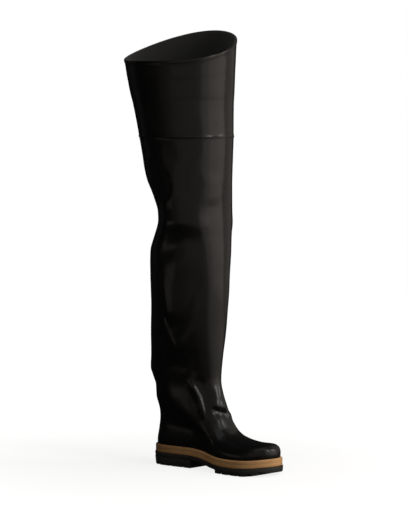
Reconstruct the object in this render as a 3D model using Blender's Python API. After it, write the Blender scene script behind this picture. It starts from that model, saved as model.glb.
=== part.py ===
"""Hip wader for the left foot: a thigh-high rubber boot that stands empty on its sole.

Metres, +Z up, toe towards -Y, outer (lateral) side towards +X.
The origin is under the middle of the whole boot's box, on the floor.
"""

import math

import bpy
import numpy as np

# Sole, measured on its outer edge
SOLE_LENGTH = 0.298
BALL_WIDTH = 0.110
HEEL_HEIGHT = 0.024
BALL_HEIGHT = 0.0135
TOE_SPRING = 0.008
BAND_THICKNESS = 0.015
BAND_RIB = 0.0009
PLATE_THICKNESS = 0.008
PLATE_PROUD = 0.0010
HEEL_LENGTH = 0.108
HEEL_TAPER = 0.0015
LUG_DEPTH = 0.0050
GROOVE_WIDTH = 0.0045
HEEL_ROUND = 0.040
TOE_ROUND = 0.056

# Tread: where the lugs start, how steeply they rise and where the toe starts to spring, as
# stations, then the reach of the cuts in from the edge, in half ball widths
TREAD_START = 0.615
TREAD_STEP = 0.004
SPRING_START = 0.84
SIDE_CUT = 0.62
HEEL_CUT = 0.50
LEAST_REACH = 0.50

# Two long grooves along the forefoot: middle station, length in sole lengths, distance from
# the centre line in half ball widths, depth in lug depths, and turn in degrees
RUN_STATION = 0.735
RUN_LENGTH = 0.20
RUN_OUT = 0.42
RUN_DEPTH = 0.90
RUN_TURN = 6.0

# Upper
UPPER_INSET = 0.0035
FOOT_WALL = 0.0030
SHAFT_WALL = 0.0022
INSTEP_HEIGHT = 0.082
HEEL_CUP = 0.068
ANKLE_WIDTH = 0.079
TOE_CAP_PROUD = 0.0010
TOE_CAP_FROM = 0.86
TOE_CAP_RAMP = 0.015
ARCH_POWER = 2.7
SHAFT_HEIGHT = 0.775
COLLAR_RISE = 0.060
THIGH_WIDTH = 0.192
THIGH_DEPTH = 0.227
RIM_HEIGHT = 0.007
RIM_ROUND = 0.2
RIM_PROUD = 0.0014
HEM_LEVEL = SHAFT_HEIGHT - 0.033
CUFF_LEVEL = SHAFT_HEIGHT - 0.071
STEP_PROUD = 0.0007
STEP_EDGE = 0.0006
BEAD_LEVEL = SHAFT_HEIGHT - 0.143
BEAD_HEIGHT = 0.0040
BEAD_PROUD = 0.0012

# Insole
INSOLE_THICKNESS = 0.0030
INSOLE_ROOM = 0.0009

# Hip strap at the outer side of the collar
WEB_WIDTH = 0.025
WEB_THICKNESS = 0.0018
RING_WIRE = 0.0032
RING_DROP = 0.0145
RING_LEVEL = SHAFT_HEIGHT + COLLAR_RISE - 0.036
RING_OUT = 0.0072
STRAP_DROP = 0.050
TAIL_LENGTH = 0.007

# Clearance between pieces that touch, and between the folds of the strap
GAP = 0.0003
FOLD_GAP = 0.0008

# Mesh resolution
AROUND = 48
STATIONS = 36
SHAFT_LEVELS = 26
LEVEL_ROOM = 0.008
STATION_ROOM = 0.008
RING_SIDES = 10


def table(columns, rows):
    """A short table with named columns, as one array for each column."""
    return {name: np.array([row[i] for row in rows], float) for i, name in enumerate(columns)}


# Half widths of the sole along its length, heel to toe, in shares of half the ball width
OUTLINE = table(
    ("station", "inner", "outer"),
    (
        (0.00, 0.64, 0.64),
        (0.08, 0.68, 0.68),
        (0.16, 0.69, 0.71),
        (0.26, 0.67, 0.74),
        (0.36, 0.64, 0.79),
        (0.46, 0.68, 0.87),
        (0.56, 0.80, 0.97),
        (0.65, 0.91, 1.03),
        (0.73, 0.95, 1.05),
        (0.82, 0.93, 1.00),
        (0.91, 0.86, 0.88),
        (1.00, 0.74, 0.70),
    ),
)

# Underside of the light band: 1 is the heel's height, 0 the ball's, and the toe springs up
BAND_LINE = table(
    ("station", "height"),
    (
        (0.00, 1.00),
        (0.34, 1.00),
        (0.42, 0.90),
        (0.50, 0.60),
        (0.58, 0.22),
        (0.66, 0.02),
        (0.76, 0.00),
        (0.86, 0.10),
        (1.00, 0.52),
    ),
)

# Tread of the forefoot: raised waist behind, flat under the ball, sprung at the toe
TREAD_LINE = table(
    ("station", "spring"),
    ((0.00, 0.00), (SPRING_START, 0.00), (0.90, 0.22), (1.00, 1.00)),
)

# Top of the foot above the feather line, in shares of the instep height
VAMP = table(
    ("station", "rise"),
    (
        (0.36, 9.00),
        (0.44, 4.20),
        (0.50, 2.10),
        (0.53, 1.30),
        (0.552, 1.00),
        (0.570, 0.780),
        (0.592, 0.610),
        (0.626, 0.495),
        (0.690, 0.416),
        (0.78, 0.371),
        (0.86, 0.347),
        (0.92, 0.336),
        (0.960, 0.305),
        (0.983, 0.235),
        (0.996, 0.135),
        (1.00, 0.000),
    ),
)

# Rings of the foot, from the feather line up to the ankle. Front is the station where the
# ring crosses the top of the foot, back its rise up the heel cup and set its step forward
# there, girth the width and shaft how far the ring has become the shaft's oval.
FOOT_RINGS = table(
    ("front", "back", "set", "girth", "shaft"),
    (
        (1.000, 0.00, 0.000, 1.000, 0.00),
        (0.998, 0.10, -0.002, 1.012, 0.00),
        (0.993, 0.20, 0.001, 1.014, 0.00),
        (0.984, 0.30, 0.005, 1.006, 0.00),
        (0.966, 0.39, 0.009, 0.996, 0.00),
        (0.935, 0.47, 0.012, 0.985, 0.00),
        (0.880, 0.54, 0.014, 0.970, 0.00),
        (0.800, 0.61, 0.016, 0.955, 0.03),
        (0.715, 0.68, 0.017, 0.945, 0.08),
        (0.650, 0.75, 0.017, 0.945, 0.18),
        (0.605, 0.83, 0.016, 0.950, 0.34),
        (0.576, 0.91, 0.013, 0.960, 0.56),
        (0.552, 1.00, 0.009, 0.970, 0.80),
    ),
)

# Level sections of the shaft. Height is a share of the shaft height, width and depth of the
# thigh's, middle is the distance forward of the heel's back in sole lengths, and lean the
# sideways shift in thigh widths.
SHAFT = table(
    ("height", "width", "depth", "middle", "lean"),
    (
        (0.176, 0.420, 0.712, 0.258, 0.000),
        (0.210, 0.440, 0.708, 0.228, 0.000),
        (0.245, 0.482, 0.720, 0.226, 0.004),
        (0.315, 0.575, 0.729, 0.232, 0.014),
        (0.420, 0.664, 0.735, 0.244, 0.020),
        (0.525, 0.736, 0.740, 0.250, 0.020),
        (0.560, 0.758, 0.680, 0.265, 0.018),
        (0.594, 0.780, 0.606, 0.296, 0.014),
        (0.620, 0.792, 0.580, 0.301, 0.010),
        (0.648, 0.806, 0.590, 0.296, 0.006),
        (0.684, 0.824, 0.686, 0.272, 0.000),
        (0.718, 0.840, 0.746, 0.252, -0.004),
        (0.788, 0.872, 0.812, 0.243, -0.012),
        (0.877, 0.938, 0.872, 0.222, -0.026),
        (0.947, 0.980, 0.950, 0.210, -0.042),
        (1.000, 1.000, 1.000, 0.206, -0.052),
    ),
)
COLLAR_LOBE = 1.6

# Share of the shaft over which the foot's wall thins to the shaft's
WALL_CHANGE = 0.12

# Grooves across the forefoot's tread from each side, and how they are turned in degrees
TREAD_GROOVES = table(
    ("station", "turn"),
    ((0.675, 14.0), (0.745, 8.0), (0.815, 0.0), (0.885, -8.0), (0.950, 0.0)),
)
HEEL_GROOVES = (0.10, 0.20, 0.30)

# Webbing tab that holds the ring: its foot below the ring's bar, the crown of its fold above
# the bar and the end of its inner ply, all in ring wires
TAB_FOOT = 7.2
TAB_CROWN = 2.6
TAB_END = 1.6

# Ring: swing out of plumb in degrees, corner radius in ring drops and side room in ring wires
RING_SWING = 12.0
RING_CORNER = 0.35
RING_ROOM = 0.6

# Plies of the hanging strap between its foot and the ring's lower bar. Rise is a share of the
# strap's drop above its foot, and slack the extra distance from the wall in fold gaps.
INNER_PLY = table(
    ("rise", "slack"),
    ((0.00, 1.0), (0.24, 2.0), (0.48, 4.0)),
)
OUTER_PLY = table(
    ("rise", "slack"),
    ((0.28, 3.0), (0.06, 1.0), (0.00, 1.0)),
)

# Where the plies leave the bar: fall below it in strap drops, and lean in fold gaps
INNER_LEAVE = (0.20, 1.0)
OUTER_LEAVE = ((0.20, 0.75), (0.48, 3.25))


def read(rows, key, column, at):
    """Reads a column with a smooth curve that never overshoots its rows."""
    x = rows[key]
    y = rows[column]
    step = np.diff(x)
    slope = np.diff(y) / step
    tangent = np.empty_like(y)
    tangent[0] = slope[0]
    tangent[-1] = slope[-1]
    for i in range(1, len(x) - 1):
        before, after = slope[i - 1], slope[i]
        if before * after <= 0:
            tangent[i] = 0.0
        else:
            w1 = 2 * step[i] + step[i - 1]
            w2 = step[i] + 2 * step[i - 1]
            tangent[i] = (w1 + w2) / (w1 / before + w2 / after)
    at = np.clip(np.asarray(at, float), x[0], x[-1])
    i = np.clip(np.searchsorted(x, at) - 1, 0, len(step) - 1)
    h = step[i]
    t = (at - x[i]) / h
    rise = y[i] * (1 + 2 * t) * (1 - t) ** 2 + y[i + 1] * t * t * (3 - 2 * t)
    return rise + h * (tangent[i] * t * (1 - t) ** 2 + tangent[i + 1] * t * t * (t - 1))


def ease(t):
    t = np.clip(t, 0.0, 1.0)
    return t * t * (3 - 2 * t)


def rounded(share, power):
    """Rises from 0 to 1 like a quarter of a superellipse, and stays at 1."""
    share = np.clip(share, 0.0, 1.0)
    return (1 - (1 - share) ** power) ** (1 / power)


def ball_half():
    return BALL_WIDTH / 2


def half_width(station, side, grow):
    """Half width of the sole's outline grown by a margin, on the inner or outer side."""
    station = np.asarray(station, float)
    length = SOLE_LENGTH + 2 * grow
    heel = rounded(station * length / (HEEL_ROUND + grow), 2.1)
    toe = rounded((1 - station) * length / (TOE_ROUND + grow), 2.2)
    return (read(OUTLINE, "station", side, station) * ball_half() + grow) * heel * toe


def along(station, grow):
    """Y of a station on the outline grown by a margin."""
    return SOLE_LENGTH / 2 + grow - np.asarray(station, float) * (SOLE_LENGTH + 2 * grow)


def band_bottom(station):
    share = read(BAND_LINE, "station", "height", station)
    return BALL_HEIGHT + (HEEL_HEIGHT - BALL_HEIGHT) * share


def feather(station):
    """Top of the light band, where the upper starts."""
    return band_bottom(station) + BAND_THICKNESS


def tread(station):
    return TOE_SPRING * read(TREAD_LINE, "station", "spring", station)


def plate_bottom(station):
    return band_bottom(station) - GAP - PLATE_THICKNESS


def new_material(name, colour, roughness, metallic):
    material = bpy.data.materials.new(name)
    material.use_nodes = True
    shader = material.node_tree.nodes["Principled BSDF"]
    shader.inputs["Base Color"].default_value = (*colour, 1.0)
    shader.inputs["Roughness"].default_value = roughness
    shader.inputs["Metallic"].default_value = metallic
    material.diffuse_color = (*colour, 1.0)
    return material


def new_object(name, points, faces, material):
    mesh = bpy.data.meshes.new(name)
    mesh.from_pydata([tuple(map(float, p)) for p in points], [], faces)
    mesh.validate()
    mesh.shade_smooth()
    mesh.set_sharp_from_angle(angle=math.radians(35))
    piece = bpy.data.objects.new(name, mesh)
    bpy.context.scene.collection.objects.link(piece)
    piece.data.materials.append(material)
    return piece


def foot_ring(row):
    """One closed ring of the foot, back to toe on the outer side and back on the inner."""
    turn = np.linspace(0, 2 * math.pi, AROUND, endpoint=False)
    share = (1 - np.cos(turn)) / 2
    outer = np.sin(turn) >= 0
    front = FOOT_RINGS["front"][row]
    shaft = FOOT_RINGS["shaft"][row]
    length = SOLE_LENGTH - 2 * UPPER_INSET
    back_y = along(0.0, -UPPER_INSET) - FOOT_RINGS["set"][row] * length
    front_y = along(front, -UPPER_INSET)
    y = back_y + (front_y - back_y) * share
    station = np.clip((along(0.0, -UPPER_INSET) - y) / length, 0.0, 1.0)
    back_lift = HEEL_CUP * FOOT_RINGS["back"][row]
    top = INSTEP_HEIGHT * read(VAMP, "station", "rise", station)
    front_lift = INSTEP_HEIGHT * float(read(VAMP, "station", "rise", front))
    lift = back_lift + (front_lift - back_lift) * ease(share)
    line = feather(0.0) + (feather(front) - feather(0.0)) * share
    z = lift + (1 - shaft) * feather(station) + shaft * line
    arch = rounded(1 - np.clip(lift / np.maximum(top, 1e-6), 0, 1), ARCH_POWER)
    arch[share > 1 - 1e-9] = 0.0
    if row == 0:
        arch[:] = 1.0
    around_heel = np.clip((back_y - y) / length, 0.0, 1.0)
    wide = np.where(
        outer,
        half_width(around_heel, "outer", -UPPER_INSET),
        half_width(around_heel, "inner", -UPPER_INSET),
    )
    foot = wide * FOOT_RINGS["girth"][row] * arch
    oval = ANKLE_WIDTH / 2 * np.abs(np.sin(turn))
    x = (foot * (1 - shaft) + oval * shaft) * np.where(outer, 1.0, -1.0)
    return np.stack([x, y, z], 1)


def collar_lift(turn):
    """How far the collar rises at an angle round the shaft: the outer side is the peak."""
    return COLLAR_RISE * ((1 + np.sin(turn)) / 2) ** COLLAR_LOBE


def shaft_ring(level):
    """One ring of the shaft at a level below the collar's low side."""
    turn = np.linspace(0, 2 * math.pi, AROUND, endpoint=False)
    return shaft_points(turn, level)


def shaft_points(turn, level):
    share = level / SHAFT_HEIGHT
    half_x = THIGH_WIDTH * read(SHAFT, "height", "width", share) / 2
    half_y = THIGH_DEPTH * read(SHAFT, "height", "depth", share) / 2
    mid_y = SOLE_LENGTH * (0.5 - read(SHAFT, "height", "middle", share))
    mid_x = THIGH_WIDTH * read(SHAFT, "height", "lean", share)
    fan = ease((level - CUFF_LEVEL) / (SHAFT_HEIGHT - CUFF_LEVEL))
    z = level + collar_lift(turn) * fan
    return np.stack([mid_x + half_x * np.sin(turn), mid_y + half_y * np.cos(turn), z], 1)


def shaft_rows():
    """Rings of the shaft: level, how far proud of the plain wall, and if the inside has it."""
    low = float(SHAFT["height"][0]) * SHAFT_HEIGHT
    rim = SHAFT_HEIGHT - RIM_HEIGHT
    hem = 2 * STEP_PROUD
    marks = [
        (BEAD_LEVEL - BEAD_HEIGHT / 2, 0.0, True),
        (BEAD_LEVEL - BEAD_HEIGHT / 4, BEAD_PROUD, False),
        (BEAD_LEVEL + BEAD_HEIGHT / 4, BEAD_PROUD, False),
        (BEAD_LEVEL + BEAD_HEIGHT / 2, 0.0, False),
        (CUFF_LEVEL - STEP_EDGE, 0.0, False),
        (CUFF_LEVEL + STEP_EDGE, STEP_PROUD, True),
        (HEM_LEVEL - STEP_EDGE, STEP_PROUD, False),
        (HEM_LEVEL + STEP_EDGE, hem, True),
        (rim, hem, True),
        (rim + RIM_HEIGHT * RIM_ROUND, hem + RIM_PROUD, False),
        (SHAFT_HEIGHT - RIM_HEIGHT * RIM_ROUND, hem + RIM_PROUD, False),
        (SHAFT_HEIGHT, hem + RIM_PROUD / 2, True),
    ]
    plain = []
    for level in np.linspace(low, SHAFT_HEIGHT, SHAFT_LEVELS):
        if min(abs(level - mark[0]) for mark in marks) > LEVEL_ROOM:
            proud = sum(STEP_PROUD for step in (CUFF_LEVEL, HEM_LEVEL) if level > step)
            plain.append((float(level), proud, True))
    return sorted(plain + marks)


def ring_normals(rings):
    """Outward unit normals of a stack of rings."""
    grid = np.array(rings)
    round_way = np.roll(grid, -1, 1) - np.roll(grid, 1, 1)
    up_way = np.empty_like(grid)
    up_way[1:-1] = grid[2:] - grid[:-2]
    up_way[0] = grid[1] - grid[0]
    up_way[-1] = grid[-1] - grid[-2]
    normal = np.cross(up_way, round_way)
    for end in (0, -1):
        normal[end, :, 2] = 0.0
    normal /= np.linalg.norm(normal, axis=2, keepdims=True)
    return normal


def tube_faces(outer_rings, inner_rings, around):
    """Faces of a hollow tube: outer wall, inner wall and the two edges that join them."""
    faces = []
    inner_start = outer_rings * around
    for k in range(outer_rings - 1):
        for j in range(around):
            a, b = k * around + j, k * around + (j + 1) % around
            faces.append((b, a, a + around, b + around))
    for k in range(inner_rings - 1):
        for j in range(around):
            a = inner_start + k * around + j
            b = inner_start + k * around + (j + 1) % around
            faces.append((a, b, b + around, a + around))
    last_outer = (outer_rings - 1) * around
    last_inner = inner_start + (inner_rings - 1) * around
    for j in range(around):
        n = (j + 1) % around
        faces.append((j, n, inner_start + n, inner_start + j))
        faces.append((last_outer + j, last_inner + j, last_inner + n, last_outer + n))
    return faces


def make_upper(material):
    """Hollow upper, open at the collar and underneath."""
    rows = shaft_rows()
    foot = [foot_ring(row) for row in range(len(FOOT_RINGS["front"]))]
    foot[0] = foot[0] + np.array([0.0, 0.0, GAP])
    base = foot + [shaft_ring(level) for level, _, _ in rows]
    normal = ring_normals(base)
    outer, inner = [], []
    for k, ring in enumerate(foot):
        station = (along(0.0, -UPPER_INSET) - ring[:, 1]) / (SOLE_LENGTH - 2 * UPPER_INSET)
        cap = TOE_CAP_PROUD * ease((station - TOE_CAP_FROM) / TOE_CAP_RAMP)
        outer.append(ring + normal[k] * (cap[:, None] if k > 0 else 0.0))
        inner.append(ring - normal[k] * FOOT_WALL)
    for k, (level, proud, inside_too) in enumerate(rows, len(foot)):
        share = ease((level - rows[0][0]) / (SHAFT_HEIGHT * WALL_CHANGE))
        wall = FOOT_WALL + (SHAFT_WALL - FOOT_WALL) * share
        outer.append(base[k] + normal[k] * proud)
        if inside_too:
            inner.append(base[k] - normal[k] * wall)
    points = np.concatenate(outer + inner)
    return new_object("upper", points, tube_faces(len(outer), len(inner), AROUND), material)


def spaced_stations(start, end, extra):
    """Stations packed closer at the round heel and toe, with exact ones where steps are."""
    turn = np.linspace(0, math.pi, STATIONS)
    even = (1 - np.cos(turn)) / 2
    kept = [s for s in even if start < s < end]
    kept = [s for s in kept if all(abs(s - exact) > STATION_ROOM for exact in extra)]
    return sorted(set([start, end] + kept + list(extra)))


def slab(name, stations, levels, material):
    """A solid on the foot's outline. Levels are (height function, grow), bottom to top."""
    stations = np.array(stations)
    closed_toe = stations[-1] > 0.999
    inside = stations[1:-1] if closed_toe else stations[1:]
    points = []
    for height, grow in levels:
        ring = [(0.0, float(along(stations[0], grow)), float(height(stations[0])))]
        right = half_width(inside, "outer", grow)
        left = half_width(inside, "inner", grow)
        ys = along(inside, grow)
        zs = height(inside)
        ring += [(right[i], ys[i], zs[i]) for i in range(len(inside))]
        if closed_toe:
            ring.append((0.0, float(along(stations[-1], grow)), float(height(stations[-1]))))
        ring += [(-left[i], ys[i], zs[i]) for i in reversed(range(len(inside)))]
        points += ring
    count = len(points) // len(levels)
    faces = []
    for k in range(len(levels) - 1):
        for j in range(count):
            a, b = k * count + j, k * count + (j + 1) % count
            faces.append((a, b, b + count, a + count))
    for base, flip in ((0, True), ((len(levels) - 1) * count, False)):
        for j in range(count // 2):
            a, b = base + j, base + j + 1
            c, d = base + (count - j - 1) % count, base + (count - j) % count
            corners = [a, b, c, d]
            corners = [p for i, p in enumerate(corners) if p not in corners[:i]]
            if len(corners) > 2:
                faces.append(tuple(corners[::-1] if flip else corners))
    if runs_clockwise(points[:count]):
        faces = [tuple(reversed(face)) for face in faces]
    return new_object(name, points, faces, material)


def runs_clockwise(ring):
    """True if a ring runs clockwise seen from above, so that its walls would face inwards."""
    turned = ring[1:] + ring[:1]
    return sum(p[0] * q[1] - q[0] * p[1] for p, q in zip(ring, turned)) < 0


def make_insole(material):
    grow = -UPPER_INSET - FOOT_WALL - INSOLE_ROOM
    levels = (
        (lambda s: feather(s) + GAP, grow),
        (lambda s: feather(s) + GAP + INSOLE_THICKNESS, grow),
    )
    return slab("insole", spaced_stations(0.0, 1.0, []), levels, material)


def make_band(material):
    """Light midsole band with a rib above and below a shallow groove."""
    heights = (
        (0.00, -BAND_RIB),
        (0.10, 0.0),
        (0.42, 0.0),
        (0.50, -BAND_RIB),
        (0.58, 0.0),
        (0.90, 0.0),
        (1.00, -BAND_RIB),
    )
    levels = [
        (lambda s, share=share: band_bottom(s) + BAND_THICKNESS * share, grow)
        for share, grow in heights
    ]
    return slab("midsole_band", spaced_stations(0.0, 1.0, []), levels, material)


def cutter(name, size, place, turn):
    """A hidden box that cuts a groove."""
    x, y, z = (s / 2 for s in size)
    points = [(sx * x, sy * y, sz * z) for sz in (-1, 1) for sy in (-1, 1) for sx in (-1, 1)]
    faces = [(0, 2, 3, 1), (4, 5, 7, 6), (0, 1, 5, 4), (2, 6, 7, 3), (0, 4, 6, 2), (1, 3, 7, 5)]
    mesh = bpy.data.meshes.new(name)
    mesh.from_pydata(points, [], faces)
    box = bpy.data.objects.new(name, mesh)
    bpy.context.scene.collection.objects.link(box)
    box.location = place
    box.rotation_euler = (0.0, 0.0, math.radians(turn))
    box.hide_render = True
    box.display_type = "WIRE"
    return box


def cut(piece, box):
    groove = piece.modifiers.new(box.name, "BOOLEAN")
    groove.operation = "DIFFERENCE"
    groove.object = box


def make_outsole(material):
    """Rubber sole plate with its lugged forefoot, flat under the ball."""

    def bottom(stations):
        stations = np.asarray(stations, float)
        return np.where(stations > TREAD_START, tread(stations), plate_bottom(stations))

    def middle(stations):
        return (bottom(stations) + band_bottom(stations) - GAP) / 2

    levels = (
        (bottom, 0.0),
        (middle, PLATE_PROUD),
        (lambda s: band_bottom(s) - GAP, PLATE_PROUD),
    )
    exact = [TREAD_START, TREAD_START + TREAD_STEP, SPRING_START]
    stations = spaced_stations(0.0, 1.0, exact)
    sole = slab("outsole", stations, levels, material)
    for i, station in enumerate(TREAD_GROOVES["station"]):
        turn = float(TREAD_GROOVES["turn"][i])
        floor = float(tread(station))
        for side, sign in (("inner", -1), ("outer", 1)):
            reach = max(float(half_width(station, side, 0.0)), ball_half() * LEAST_REACH)
            place = (sign * reach, float(along(station, 0.0)), floor)
            size = (ball_half() * SIDE_CUT, GROOVE_WIDTH, 2 * LUG_DEPTH)
            cut(sole, cutter(f"cut_{side}_{i}", size, place, -sign * turn))
    for sign in (-1, 1):
        place = (sign * ball_half() * RUN_OUT, float(along(RUN_STATION, 0.0)), 0.0)
        size = (GROOVE_WIDTH, SOLE_LENGTH * RUN_LENGTH, 2 * LUG_DEPTH * RUN_DEPTH)
        cut(sole, cutter(f"cut_run_{sign}", size, place, sign * RUN_TURN))
    return sole


def make_heel(material):
    """Heel block under the plate, with notches across its lower edge."""
    end = HEEL_LENGTH / SOLE_LENGTH
    levels = (
        (lambda s: 0.0 * np.asarray(s, float), PLATE_PROUD - HEEL_TAPER),
        (lambda s: plate_bottom(s) - GAP, PLATE_PROUD),
    )
    heel = slab("heel", spaced_stations(0.0, end, []), levels, material)
    for i, station in enumerate(HEEL_GROOVES):
        for side, sign in (("inner", -1), ("outer", 1)):
            reach = float(half_width(station, side, 0.0))
            place = (sign * reach, float(along(station, 0.0)), 0.0)
            size = (ball_half() * HEEL_CUT, GROOVE_WIDTH, 2 * LUG_DEPTH)
            cut(heel, cutter(f"cut_heel_{side}_{i}", size, place, 0.0))
    return heel


def wall_x(height):
    """X of the upper's face at the outer side of the collar, at a height."""
    levels = np.linspace(BEAD_LEVEL + BEAD_HEIGHT, SHAFT_HEIGHT - RIM_HEIGHT, 40)
    side = np.array([shaft_points(np.array([math.pi / 2]), level)[0] for level in levels])
    return float(np.interp(height, side[:, 2], side[:, 0])) + 2 * STEP_PROUD


def strap_middle():
    """Y of the outer side of the collar, where the strap hangs."""
    share = (RING_LEVEL - COLLAR_RISE) / SHAFT_HEIGHT
    return SOLE_LENGTH * (0.5 - float(read(SHAFT, "height", "middle", share)))


def arc(centre, radius, start, end, steps):
    turns = np.radians(np.linspace(start, end, steps))
    return [(centre[0] + radius * math.cos(a), centre[1] + radius * math.sin(a)) for a in turns]


def strip(name, path, material):
    """Webbing of constant thickness along a path of (x, z) points, with square ends."""
    path = np.array(path)
    way = np.gradient(path, axis=0)
    way /= np.linalg.norm(way, axis=1, keepdims=True)
    side = np.stack([-way[:, 1], way[:, 0]], 1) * WEB_THICKNESS / 2
    loop = np.concatenate([path + side, (path - side)[::-1]])
    count = len(loop)
    half = WEB_WIDTH / 2
    middle = strap_middle()
    points = [(p[0], middle - half, p[1]) for p in loop]
    points += [(p[0], middle + half, p[1]) for p in loop]
    faces = [(j, (j + 1) % count, count + (j + 1) % count, count + j) for j in range(count)]
    run = len(path)
    for j in range(run - 1):
        a, b, c, d = j, j + 1, count - 2 - j, count - 1 - j
        faces.append((a, d, c, b))
        faces.append((count + a, count + b, count + c, count + d))
    return new_object(name, points, faces, material)


def ring_centre():
    return (wall_x(RING_LEVEL) + GAP + RING_OUT, RING_LEVEL)


def make_strap_tab(material):
    """Webbing tab on the wall, folded out and round the ring's upper bar."""
    bar = ring_centre()
    eye = RING_WIRE / 2 + GAP + WEB_THICKNESS / 2
    on_wall = GAP + WEB_THICKNESS / 2
    outer_x = bar[0] + eye
    crown_z = RING_LEVEL + TAB_CROWN * RING_WIRE
    wall_top = wall_x(crown_z) + on_wall
    crown = (outer_x - wall_top) / 2
    foot_z = RING_LEVEL - TAB_FOOT * RING_WIRE
    lower = [
        (wall_x(z) + on_wall, z) for z in np.linspace(foot_z, crown_z, 6)[:-1]
    ]
    over = arc((wall_top + crown, crown_z), crown, 180, 0, 9)
    under = arc(bar, eye, 0, -180, 9)
    back_up = [(bar[0] - eye, RING_LEVEL + RING_WIRE * TAB_END)]
    return strip("strap_tab", lower + over + under + back_up, material)


def lower_bar():
    swing = math.radians(RING_SWING)
    x, z = ring_centre()
    return (x + RING_DROP * math.sin(swing), z - RING_DROP * math.cos(swing))


def make_ring(material):
    """Wire ring with two straight bars, hanging in the tab's fold."""
    top, low = ring_centre(), lower_bar()
    corner = RING_DROP * RING_CORNER
    half_y = WEB_WIDTH / 2 + GAP + RING_WIRE * RING_ROOM
    half_z = RING_DROP / 2
    flat = []
    for centre, start in (
        ((half_y - corner + RING_WIRE / 2, half_z - corner), 0),
        ((-half_y + corner - RING_WIRE / 2, half_z - corner), 90),
        ((-half_y + corner - RING_WIRE / 2, -half_z + corner), 180),
        ((half_y - corner + RING_WIRE / 2, -half_z + corner), 270),
    ):
        flat += arc(centre, corner, start, start + 90, 5)
    flat = np.array(flat)
    way = np.roll(flat, -1, 0) - np.roll(flat, 1, 0)
    way /= np.linalg.norm(way, axis=1, keepdims=True)
    out = np.stack([way[:, 1], -way[:, 0]], 1)
    middle = np.array([(top[0] + low[0]) / 2, strap_middle(), (top[1] + low[1]) / 2])
    rise = np.array([top[0] - low[0], 0.0, top[1] - low[1]]) / RING_DROP
    across = np.array([0.0, 1.0, 0.0])
    face = np.cross(across, rise)
    points = []
    for p, o in zip(flat, out):
        centre = middle + across * p[0] + rise * p[1]
        outward = across * o[0] + rise * o[1]
        for s in range(RING_SIDES):
            a = 2 * math.pi * s / RING_SIDES
            spoke = outward * math.cos(a) + face * math.sin(a)
            points.append(centre + spoke * RING_WIRE / 2)
    faces = []
    count = len(flat)
    for i in range(count):
        for s in range(RING_SIDES):
            a, b = i * RING_SIDES + s, i * RING_SIDES + (s + 1) % RING_SIDES
            n = ((i + 1) % count) * RING_SIDES - i * RING_SIDES
            faces.append((a, a + n, b + n, b))
    return new_object("strap_ring", points, faces, material)


def make_strap(material):
    """Webbing strap folded over the ring's lower bar, hanging doubled with a short tail."""
    bar = lower_bar()
    eye = RING_WIRE / 2 + GAP + WEB_THICKNESS / 2
    on_wall = GAP + WEB_THICKNESS / 2
    foot_z = bar[1] - STRAP_DROP
    low = wall_x(foot_z) + on_wall + FOLD_GAP
    tail_z = foot_z - TAIL_LENGTH
    inner_ply = [(wall_x(tail_z) + on_wall + FOLD_GAP, tail_z)]
    for rise, slack in zip(INNER_PLY["rise"], INNER_PLY["slack"]):
        z = foot_z + rise * STRAP_DROP
        inner_ply.append((wall_x(z) + on_wall + slack * FOLD_GAP, z))
    fall, lean = INNER_LEAVE
    inner_ply.append((bar[0] - eye - lean * FOLD_GAP, bar[1] - fall * STRAP_DROP))
    over = arc(bar, eye, 180, 0, 9)
    outer_ply = []
    for fall, lean in OUTER_LEAVE:
        outer_ply.append((bar[0] + eye - lean * FOLD_GAP, bar[1] - fall * STRAP_DROP))
    for rise, slack in zip(OUTER_PLY["rise"], OUTER_PLY["slack"]):
        outer_ply.append((low + WEB_THICKNESS + slack * FOLD_GAP, foot_z + rise * STRAP_DROP))
    return strip("strap", inner_ply + over + outer_ply, material)


def centre_on_floor(pieces):
    """Moves everything so that the origin lies under the middle of the whole box."""
    bpy.context.view_layer.update()
    points = np.array([tuple(v.co) for p in pieces for v in p.data.vertices])
    middle = (points.min(0) + points.max(0)) / 2
    for thing in bpy.context.scene.objects:
        thing.location.x -= middle[0]
        thing.location.y -= middle[1]


def main():
    for thing in list(bpy.data.objects):
        bpy.data.objects.remove(thing, do_unlink=True)
    black = new_material("black_rubber", (0.020, 0.019, 0.019), 0.38, 0.0)
    tan = new_material("tan_rubber", (0.45, 0.24, 0.10), 0.62, 0.0)
    sole = new_material("sole_rubber", (0.016, 0.015, 0.015), 0.70, 0.0)
    lining = new_material("grey_felt", (0.10, 0.10, 0.10), 0.95, 0.0)
    webbing = new_material("black_webbing", (0.014, 0.014, 0.015), 0.85, 0.0)
    steel = new_material("bright_steel", (0.62, 0.61, 0.59), 0.25, 1.0)
    pieces = [
        make_upper(black),
        make_insole(lining),
        make_band(tan),
        make_outsole(sole),
        make_heel(sole),
        make_strap_tab(webbing),
        make_ring(steel),
        make_strap(webbing),
    ]
    centre_on_floor(pieces)


main()
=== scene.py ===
"""Looks of the hip wader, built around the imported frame.

Metres, +Z up, toe towards -Y, outer side of the leg towards +X.
"""

import math

import bmesh
import bpy
import numpy as np
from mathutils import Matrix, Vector, noise
from mathutils.bvhtree import BVHTree
from mathutils.kdtree import KDTree


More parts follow.
